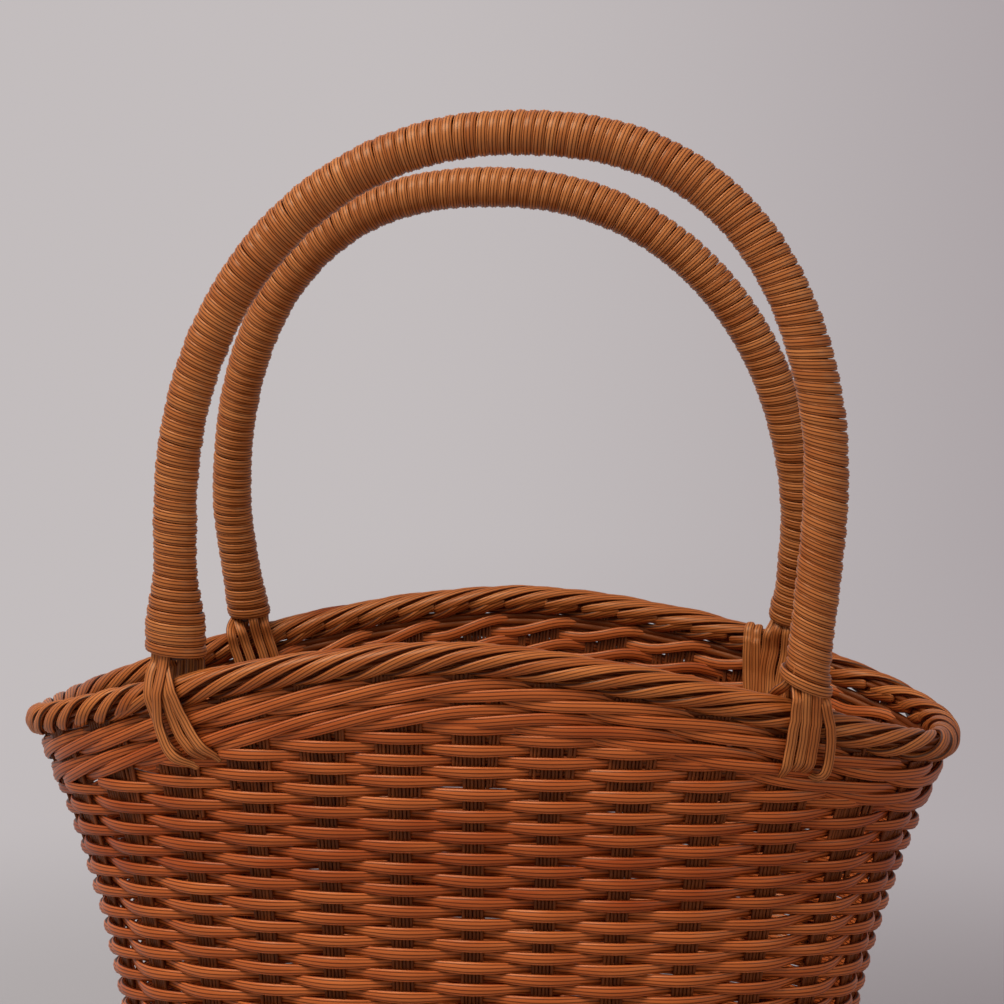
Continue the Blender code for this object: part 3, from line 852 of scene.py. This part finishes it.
# Room that a stick leaves to the edge of the base, beside it and at its end
STICK_CLEARANCES = (0.004, 0.001)


def base_reach(share):
    """Half width of the base at a share of its half size the other way, as a share too."""
    return (1 - share ** PLAN_EXPONENT) ** (1 / PLAN_EXPONENT)


class BASKET_OT_base(bpy.types.Operator):
    """Weave the base in pairs of canes on its sticks"""
    bl_idname = "basket.base"
    bl_label = "Base"

    def execute(self, context):
        thickness = context.scene.basket_sizes.cane_thickness
        half_length, half_depth = BASE[0] - BASE_INSET, BASE[1] - BASE_INSET
        middle = BASE_THICKNESS / 2
        half_span = half_length * BASE_STICK_SPAN
        spacing = 2 * half_span / (STICKS - 1)
        upward = (0.0, 0.0, 1.0)
        canes = Canes(CANE_SECTION, seed=601)
        rows = int(2 * (half_depth - BASE_MARGIN) / BASE_PITCH)
        for row in range(rows + 1):
            y = (row - rows / 2) * BASE_PITCH
            reach = half_length * base_reach(abs(y) / half_depth) + BASE_OVERLAP
            count = int(2 * reach / spacing * SPAN_STEPS) + 6
            xs = np.linspace(-reach, reach, count)
            swing = np.cos(pi * ((xs + half_span) / spacing + row // 2))
            wander = canes.wander(count, 12, amount=0.0002)
            points = np.stack((xs, y + wander, middle + BASE_SWING * swing), axis=-1)
            canes.add(points, upward, BASE_CANE_WIDTH, thickness)
        piece = canes.make("base_canes", "weave", "woven_cane")
        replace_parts(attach(piece, "basket"), "base_weave")
        strands = Canes(STRAND_SECTION, seed=602)
        beside, at_end = STICK_CLEARANCES
        for index in range(STICKS):
            x = half_span * (2 * index / (STICKS - 1) - 1)
            reach = half_depth * base_reach((abs(x) + beside) / half_length) - at_end
            ys, zs = np.linspace(-reach, reach, STICK_SAMPLES), np.full(STICK_SAMPLES, middle)
            for number in range(STICK_STRANDS):
                place = x + (number - STICK_STRANDS // 2) * STICK_SPACING
                xs = place + strands.wander(STICK_SAMPLES, 6, amount=0.0001)
                strands.add(np.stack((xs, ys, zs), axis=-1), upward, *STICK_SIZE)
        piece = strands.make("base_stick_strands", "stake", "stake_cane")
        nodes = [f"base_stick_{index + 1}" for index in range(STICKS)]
        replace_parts(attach(piece, "basket"), *nodes)
        return {"FINISHED"}


# Handles

WINDING_LIFT = 0.0008
WINDING_THICKNESS = 0.0026
SLANT_FADE = (0.10, 0.20)

# Step along the middle line that gives its direction
AHEAD_STEP = 0.004


class Handle:
    """Middle line of one handle, its place on the basket and how its winding widens at each foot.

    Tilt and lean are in degrees. A foot's flare is the share of the full widening, the length that
    stays wide and the length over which it narrows; its slant is how steeply the turns tilt there.
    """

    def __init__(self, name, leg, draws, draw_height, shift, skew, tilt, lean, flares, slants):
        self.name, self.front = name, name == "front"
        self.body = f"{name}_handle"
        self.flares, self.slants = flares, slants
        foot = BORDER_RADIUS + FOOT_CLEARANCE
        hinge = BORDER_RADIUS + FOOT_CLEARANCE / 2
        rotation = Matrix.Rotation(radians(lean), 4, "X") @ Matrix.Rotation(radians(tilt), 4, "Y")
        datum = Vector((shift, *rim_point(turn_at_x(HANDLE_HALF_WIDTH, self.front))[1:]))
        self.matrix = Matrix.Translation(datum + rotation @ Vector((0, 0, hinge))) @ rotation
        angles = np.linspace(pi, 0, 1200)
        cosines, sines = np.cos(angles), np.sin(angles)
        reach = superellipse(cosines, sines, HANDLE_EXPONENT)
        above = HANDLE_ARCH * sines * reach
        across = HANDLE_HALF_WIDTH * cosines * reach + skew * (above / HANDLE_ARCH) ** 2
        legs = np.linspace(foot, leg, 60, endpoint=False)
        sides = np.full(len(legs), HANDLE_HALF_WIDTH)
        across = np.concatenate((-sides, across, sides))
        heights = np.concatenate((legs, above + leg, legs[::-1]))
        drawn = np.clip(1 - (heights - foot) / draw_height, 0, 1) ** DRAW_EXPONENT
        across = across + np.where(across < 0, draws[0], -draws[1]) * drawn
        self.line = np.stack((across, heights - hinge), axis=-1)
        self.run = run_along(self.line)
        self.length = float(self.run[-1])

    def spot(self, distances):
        """Points of the middle line, which runs on straight beyond each foot."""
        x, z = (np.interp(distances, self.run, self.line[:, axis]) for axis in (0, 1))
        beyond = np.maximum(-distances, 0) + np.maximum(distances - self.length, 0)
        return np.stack((x, np.zeros_like(x), z - beyond), axis=-1)

    def outward(self, distances):
        """Directions from the middle line to the outside of the arch."""
        ahead = unit(self.spot(distances + AHEAD_STEP) - self.spot(distances - AHEAD_STEP))
        return np.stack((-ahead[:, 2], np.zeros(len(ahead)), ahead[:, 0]), axis=-1)

    def place(self, points):
        return self.turn(points) + np.array(self.matrix.translation)

    def turn(self, directions):
        return directions @ np.array(self.matrix.to_3x3()).T

    def winding(self, distances):
        """Inner radius of the winding and the slant of its turns at distances along the handle."""
        radius, slant = np.full(len(distances), WRAP_INNER_RADIUS), np.zeros(len(distances))
        from_feet = (distances, self.length - distances)
        for from_foot, (share, straight, taper), lean in zip(from_feet, self.flares, self.slants):
            fade = 1 - smooth_step(straight, straight + taper, from_foot)
            radius += (WRAP_FLARE_RADIUS - WRAP_INNER_RADIUS) * share * fade
            slant += lean * (1 - smooth_step(*SLANT_FADE, from_foot))
        return radius, slant


HANDLES = (
    Handle("front", leg=0.0659, draws=(0.0015, 0.0065), draw_height=0.1050, shift=0.0127, skew=0.0105,
           tilt=1.7, lean=3.8, flares=((1.0, 0.009, 0.028), (0.55, 0.005, 0.005)), slants=(0.04, 0.24)),
    Handle("back", leg=0.0535, draws=(0.0056, 0.0050), draw_height=0.0540, shift=-0.0013, skew=-0.0070,
           tilt=-0.5, lean=11.6, flares=((0.25, 0.006, 0.020), (0.35, 0.006, 0.012)), slants=(0.02, 0.04)),
)


class BASKET_OT_windings(bpy.types.Operator):
    """Wind one long ribbed cane round each handle from foot to foot"""
    bl_idname = "basket.windings"
    bl_label = "Windings"

    def execute(self, context):
        pitch = context.scene.basket_sizes.turn_pitch
        for number, handle in enumerate(HANDLES):
            canes = Canes(WINDING_SECTION, seed=701 + number)
            loops = round((handle.length - pitch) / pitch)
            count = loops * TURN_STEPS + 1
            share = np.linspace(0, 1, count)
            jitter = canes.wander(count, loops * 2, amount=0.00016)
            jitter = jitter * smooth_step(0, 0.02, np.minimum(share, 1 - share))
            distances = pitch / 2 + (handle.length - pitch) * share + jitter
            angles = 2 * pi * loops * share + pi / 2
            radius, slant = handle.winding(distances)
            radius = radius + WINDING_LIFT + canes.wander(count, loops, amount=0.00020)
            slanted = distances + slant * radius * np.cos(angles)
            radial = handle.outward(slanted) * np.cos(angles)[:, None]
            radial[:, 1] += np.sin(angles)
            points = handle.place(handle.spot(slanted) + radial * radius[:, None])
            roll = canes.wander(count, loops * 2, amount=0.12)
            canes.add(points, handle.turn(radial), pitch, WINDING_THICKNESS, roll=roll)
            piece = canes.make(f"{handle.name}_winding", "grip", "wrap_cane")
            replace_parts(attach(piece, handle.body), f"{handle.name}_handle_wrap")
        return {"FINISHED"}


class BASKET_OT_rods(bpy.types.Operator):
    """Finish the rods inside the handles in a dark colour that is painted shade"""
    bl_idname = "basket.rods"
    bl_label = "Handle rods"

    def execute(self, context):
        material = rod_material("handle_rod_painted_shade")
        for handle in HANDLES:
            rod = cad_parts[f"{handle.name}_handle_core"]
            rod.data.materials.clear()
            rod.data.materials.append(material)
        return {"FINISHED"}


# Lashings

# Each cane is how far it lies out over the others and its path from the foot of the winding, as
# places (aside, down), all in millimetres
FRONT_LEFT_OUTER = (
    (-0.5, ((-2.5, -7), (-1.5, 0.5), (0.2, 9), (0.7, 16), (1, 23), (2.5, 30), (5, 35), (8, 40), (10, 43))),
    (-0.2, ((0.5, -7), (-0.2, 0.7), (0.8, 5), (3.6, 13.5), (5.4, 23), (8.5, 32), (12.5, 39), (15, 43))),
    (0.7, ((-4, -7), (-4.8, -1), (-5.8, 5), (-5.9, 10), (-5.5, 16), (-5, 22), (-4.2, 28), (-2.6, 34),
           (1.5, 41))),
    (1.5, ((0.5, -7), (-0.2, 0.7), (-0.8, 7), (-2.2, 15.5), (-4.3, 24), (-4, 29), (-2.6, 35), (0.8, 40),
           (5, 44))),
)
FRONT_RIGHT_OUTER = (
    (0.3, ((-4.6, -7), (-5.2, 1.3), (-6.6, 9), (-6.7, 16.5), (-5.8, 23.6), (-5.4, 32), (-5, 38))),
    (0, ((-1.6, -7), (-2.2, 1.7), (-2.7, 13), (-1.5, 20.5), (-0.9, 27), (-0.9, 35))),
    (0.3, ((2.4, -7), (1.8, 2.7), (1.3, 13), (2.3, 20), (3.2, 27), (3.2, 31), (2.2, 34.5))),
    (0.6, ((5, -7), (4.9, 3.4), (6.5, 12.5), (8.5, 18.5), (10.2, 26), (10, 31), (8.4, 33.5), (5, 33))),
)
PLAIN_FOUR = (
    (0, ((-5, -7), (-6.3, 2), (-6.8, 13), (-6.8, 26), (-6.4, 37), (-6.2, 41))),
    (0.3, ((-2, -7), (-2.1, 0), (-2.3, 13), (-2.3, 26), (-2, 37), (-1.9, 41))),
    (0, ((2, -7), (2.1, 0), (2.3, 13), (2.4, 26), (2.3, 37), (2.2, 41))),
    (0.3, ((5, -7), (6.3, 2), (6.8, 13), (6.9, 26), (6.6, 37), (6.4, 41))),
)
FRONT_RIGHT_INNER = ((0.6, ((-3.5, -7), (-6.5, 0), (-10, 6), (-11, 14), (-10.8, 40))), *PLAIN_FOUR[1:])
BACK_LEFT_INNER = (
    (0.8, ((-4.5, -7), (-6.3, -0.5), (-9.4, 3), (-10.6, 6), (-10.2, 10.5), (-9.2, 16), (-8, 26), (-7, 40))),
    (0, ((-3.5, -7), (-5.9, 1), (-5.8, 5), (-4.8, 10), (-3.4, 17), (-2, 28), (-1, 40))),
    (0.3, ((-0.8, -7), (0.3, 2.2), (1, 8), (2.6, 16), (4, 28), (5, 40))),
    (0, ((3.6, -7), (5, 3.5), (6.2, 10), (7.6, 17), (9, 28), (10, 40))),
)
BACK_RIGHT_INNER = (
    (0, ((-18, 5.8), (-17, 16), (-15.5, 26), (-13.7, 34), (-13, 40))),
    (0.2, ((-14.2, 5.8), (-12.8, 15), (-11.2, 25), (-9.9, 33), (-9.5, 40))),
    (0, ((-4.5, -7), (-7, 3), (-8.2, 12), (-8.2, 23.6), (-6.8, 31.5), (-6, 40))),
    (0.3, ((-1, -7), (-3.2, 4), (-4, 12), (-4.4, 22.5), (-3.2, 30.5), (-2.4, 40))),
    (0, ((2, -7), (1.6, 4), (1, 14), (0.6, 26), (1.4, 40))),
    (0.3, ((4.5, -7), (5.8, 4), (5.8, 14), (5.4, 26), (5.2, 40))),
)
LASHINGS = {
    "front_left": (FRONT_LEFT_OUTER, PLAIN_FOUR),
    "front_right": (FRONT_RIGHT_OUTER, FRONT_RIGHT_INNER),
    "back_left": (PLAIN_FOUR, BACK_LEFT_INNER),
    "back_right": (PLAIN_FOUR, BACK_RIGHT_INNER),
}

# Distances down from the foot of the winding and out from the side's middle, in millimetres
LASHING_PROFILE = ((-8, 8.0), (0, 8.0), (6, 8.6), (13.2, 8.9), (19, 8.1), (25, 7.0), (42, 6.8))
LASHING_THICKNESS = 0.0024
LASHING_SAMPLES = 34

# Distance down over which the canes still follow the handle's foot
FOOT_FOLLOWED = 0.014

# Inside the winding: room left under it and beside the cane's middle, and least reach
WINDING_ROOM = 0.0008
CANE_ROOM = 0.0016
LEAST_REACH = 0.0012

# Radius on which a cane goes over the border, and how far out it may go where nothing holds it
OVER_BORDER = BORDER_RADIUS + 0.0012
LET_GO = 0.010
LET_GO_PAST_BORDER = (-0.003, 0.004)
LET_GO_BELOW_WINDING = (-0.001, 0.010)

# Share of a lashing cane at which its end begins, how deep that turns in and how much it narrows
LASHING_END = 0.85
TURNED_IN_DEPTH = 0.0064
END_NARROWING = 0.34


def lashing_point(foot, foot_turn, aside, down, outside, extra, winding_radius):
    """Place of a lashing cane over the border and the wales, and its outward direction.

    Its upper end lies inside the winding, or goes over the border where it starts lower.
    """
    turns = foot_turn + aside / MOUTH_LENGTH
    drop = down - BORDER_RADIUS - FOOT_CLEARANCE
    points, level, _, _ = wall(turns, rim_height(turns) - np.maximum(drop, 0))
    facing = level_outward(level) * outside
    points[:, 2] += np.maximum(-drop, 0)
    to_foot = (np.array(foot) - rim_point(foot_turn)) * (1, 1, 0)
    points += to_foot * (1 - smooth_step(0, FOOT_FOLLOWED, down))[:, None]
    depths, reaches = np.array(LASHING_PROFILE).T * MM
    reach = np.interp(down, depths, reaches) + extra
    rise = np.zeros(len(down))
    if down[0] > 0:
        rise = np.clip(-drop / OVER_BORDER, 0, 1)
        limit = OVER_BORDER * np.sqrt(1 - rise ** 2) + LET_GO * smooth_step(*LET_GO_PAST_BORDER, drop)
    else:
        inner, edge = winding_radius - WINDING_ROOM, np.abs(aside) + CANE_ROOM
        limit = np.sqrt(np.maximum(inner ** 2 - edge ** 2, LEAST_REACH ** 2))
        limit = limit + LET_GO * smooth_step(*LET_GO_BELOW_WINDING, down)
    points += facing * np.minimum(reach, limit)[:, None]
    return points, facing * np.sqrt(1 - rise ** 2)[:, None] + np.outer(rise, (0, 0, 1))


class BASKET_OT_lashings(bpy.types.Operator):
    """Tie the foot of each handle over the border with flat canes, outside and inside"""
    bl_idname = "basket.lashings"
    bl_label = "Lashings"

    def execute(self, context):
        width = context.scene.basket_sizes.lashing_width
        share = np.linspace(0, 1, LASHING_SAMPLES)
        turned_in = smooth_step(LASHING_END, 1.0, share)
        seed = 801
        for place, faces in LASHINGS.items():
            end, side = place.split("_")
            handle = HANDLES[0 if end == "front" else 1]
            at_foot = np.array([0.0 if side == "left" else handle.length])
            foot = handle.place(handle.spot(at_foot))[0]
            foot_turn = turn_at_x(foot[0], handle.front)
            winding_radius = handle.winding(at_foot)[0][0]
            rightward = 1 if handle.front else -1
            for face, outside, lines in zip(("outer", "inner"), (1, -1), faces):
                canes = Canes(CANE_SECTION, seed)
                seed += 1
                for lifted, line in lines:
                    aside, down = through(np.array(line) * MM, LASHING_SAMPLES).T
                    extra = lifted * MM - TURNED_IN_DEPTH * turned_in
                    points, facing = lashing_point(foot, foot_turn, aside * rightward, down, outside,
                                                   extra, winding_radius)
                    canes.add(points, facing, width * (1 - END_NARROWING * turned_in), LASHING_THICKNESS)
                piece = canes.make(f"{place}_lashing_canes_{face}", "grip", "wrap_cane")
                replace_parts(piece, f"{place}_lashing_{face}")
                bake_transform(piece)
        return {"FINISHED"}


# Stage

# Distances from the basket over which the floor and the backdrop turn into plain light
FLOOR_ENDS = (0.30, 0.95)
BACKDROP_ENDS = (0.0, 0.01)

# X over which the floor and the plain light change from their lit side to their shaded one, as painted shade
FLOOR_SHADE = (-0.2, 0.5)
PLAIN_SHADE = (-0.75, 1.15)

# Half width of the studio and distance of its backdrop
STUDIO_SIDE = 9
STUDIO_BACK = 3.2


def shown_plainly(tree):
    """1 for rays from the camera and in reflections, so that they see a plain colour."""
    path = add_node(tree, "LightPath", {})
    seen = math_node(tree, "MAXIMUM", path["Is Camera Ray"], path["Is Glossy Ray"])
    return math_node(tree, "MAXIMUM", seen, path["Is Transmission Ray"])


def place_node(tree):
    return add_node(tree, "TexCoord", {})["Object"]


def across_node(tree, low, high):
    """Share of the way from the lit side of the studio to the shaded one."""
    return fade_node(tree, add_node(tree, "SeparateXYZ", {0: place_node(tree)})["X"], low, high)


class BASKET_OT_stage(bpy.types.Operator):
    """Set up the floor, backdrop, lights and camera"""
    bl_idname = "basket.stage"
    bl_label = "Stage"

    def execute(self, context):
        stage = context.scene.basket_stage
        side, back = STUDIO_SIDE, STUDIO_BACK
        flat = [(-side, -side, 0), (side, -side, 0), (side, side, 0), (-side, side, 0)]
        self.make_screen("studio_floor", flat, stage, FLOOR_ENDS)
        upright = [(-side, back, 0), (side, back, 0), (side, back, side), (-side, back, side)]
        backdrop = self.make_screen("studio_backdrop", upright, stage, BACKDROP_ENDS)
        backdrop.visible_diffuse = False
        backdrop.visible_shadow = False
        self.make_world(stage)
        self.make_light("key_light", (-1.05, -1.25, 2.45), stage.key_power, (1.0, 0.985, 0.97))
        self.make_light("fill_light", (1.9, -1.2, 0.9), stage.fill_power, (0.97, 0.98, 1.0))
        self.make_camera(context)
        context.scene.view_settings.view_transform = "Standard"
        return {"FINISHED"}

    def make_screen(self, name, corners, stage, ends):
        """Plane that takes the basket's shadow near by and looks like plain light far away; both are painted
        darker from the lit side to the shaded one as painted shade.
        """
        mesh = bpy.data.meshes.new(name)
        mesh.from_pydata(corners, [], [(0, 1, 2, 3)])
        item = link_item(name, mesh)
        material, tree, shader = new_material(f"{name}_finish")
        # Painted shade: the floor colour darkens from the lit side to the shaded one
        shade = across_node(tree, *FLOOR_SHADE)
        colour = mix_colours(tree, shade, (*stage.floor, 1), (*stage.floor_shaded, 1))
        feed(tree, shader, {"Base Color": colour, "Roughness": 0.9})
        distance = add_node(tree, "VectorMath", {0: place_node(tree)}, operation="LENGTH")["Value"]
        share = math_node(tree, "MULTIPLY", shown_plainly(tree), fade_node(tree, distance, *ends))
        # Painted shade: the glow darkens from the lit side of the studio to the shaded one
        fade = across_node(tree, *PLAIN_SHADE)
        plain = mix_colours(tree, fade, (*stage.pale, 1), (*stage.shaded, 1))
        glow = add_node(tree, "Emission", {"Color": plain})[0]
        mixed = add_node(tree, "MixShader", {0: share, 1: shader.outputs[0], 2: glow})[0]
        feed(tree, tree.nodes["Material Output"], {"Surface": mixed})
        mesh.materials.append(material)
        return item

    def make_world(self, stage):
        world = bpy.data.worlds.new("studio_air")
        world.use_nodes = True
        bpy.context.scene.world = world
        tree = world.node_tree
        light = tree.nodes["Background"]
        feed(tree, light, {"Color": (1.0, 0.985, 0.98, 1), "Strength": stage.sky})
        shown = add_node(tree, "Background", {"Color": (*stage.pale, 1)})[0]
        mixed = add_node(tree, "MixShader", {0: shown_plainly(tree), 1: light.outputs[0], 2: shown})[0]
        feed(tree, tree.nodes["World Output"], {"Surface": mixed})

    def make_light(self, name, place, power, colour):
        """Large soft light that points at the middle of the basket."""
        lamp = bpy.data.lights.new(name, "AREA")
        lamp.size = 1.4
        lamp.energy = power
        lamp.color = colour
        item = link_item(name, lamp)
        item.location = place
        item.rotation_euler = (Vector((0, 0, 0.25)) - item.location).to_track_quat("-Z", "Y").to_euler()

    def make_camera(self, context):
        """Camera as fitted to the photograph."""
        data = bpy.data.cameras.new("photo_camera")
        data.sensor_width = 36
        data.lens = 103.98
        camera = link_item("photo_camera", data)
        ahead = Vector((-0.1376, 0.9875, -0.0773)).normalized()
        right = ahead.cross(Vector((0, 0, 1))).normalized()
        level = Matrix((right, right.cross(ahead), -ahead)).transposed().to_4x4()
        roll = Matrix.Rotation(radians(0.409), 4, "Z")
        camera.matrix_world = Matrix.Translation((0.1721, -1.2068, 0.4002)) @ level @ roll
        context.scene.camera = camera


OPERATORS = (
    BASKET_OT_base,
    BASKET_OT_foot,
    BASKET_OT_stakes,
    BASKET_OT_side_weave,
    BASKET_OT_wales,
    BASKET_OT_border,
    BASKET_OT_rods,
    BASKET_OT_windings,
    BASKET_OT_lashings,
    BASKET_OT_stage,
)


class BASKET_PT_panel(bpy.types.Panel):
    """Lists the parts of the basket and their settings"""
    bl_idname = "BASKET_PT_panel"
    bl_label = "Woven basket"
    bl_space_type = "VIEW_3D"
    bl_region_type = "UI"
    bl_category = "Basket"

    def draw(self, context):
        column = self.layout.column()
        for operator in OPERATORS:
            column.operator(operator.bl_idname)
        for name in GROUPS:
            box, group = self.layout.box(), getattr(context.scene, name)
            for key in group.bl_rna.properties.keys():
                if key not in ("rna_type", "name"):
                    box.prop(group, key)


GROUPS = {
    "basket_sizes": BasketSizeSettings,
    "basket_canes": BasketCaneSettings,
    "basket_stage": BasketStageSettings,
}
CLASSES = (*GROUPS.values(), *OPERATORS, BASKET_PT_panel)


def register():
    for item in CLASSES:
        bpy.utils.register_class(item)
    for name, group in GROUPS.items():
        setattr(bpy.types.Scene, name, PointerProperty(type=group))


def unregister():
    for name in GROUPS:
        delattr(bpy.types.Scene, name)
    for item in reversed(CLASSES):
        bpy.utils.unregister_class(item)


def main():
    register()
    for operator in OPERATORS:
        group, name = operator.bl_idname.split(".")
        getattr(getattr(bpy.ops, group), name)()


if __name__ == "__main__":
    main()
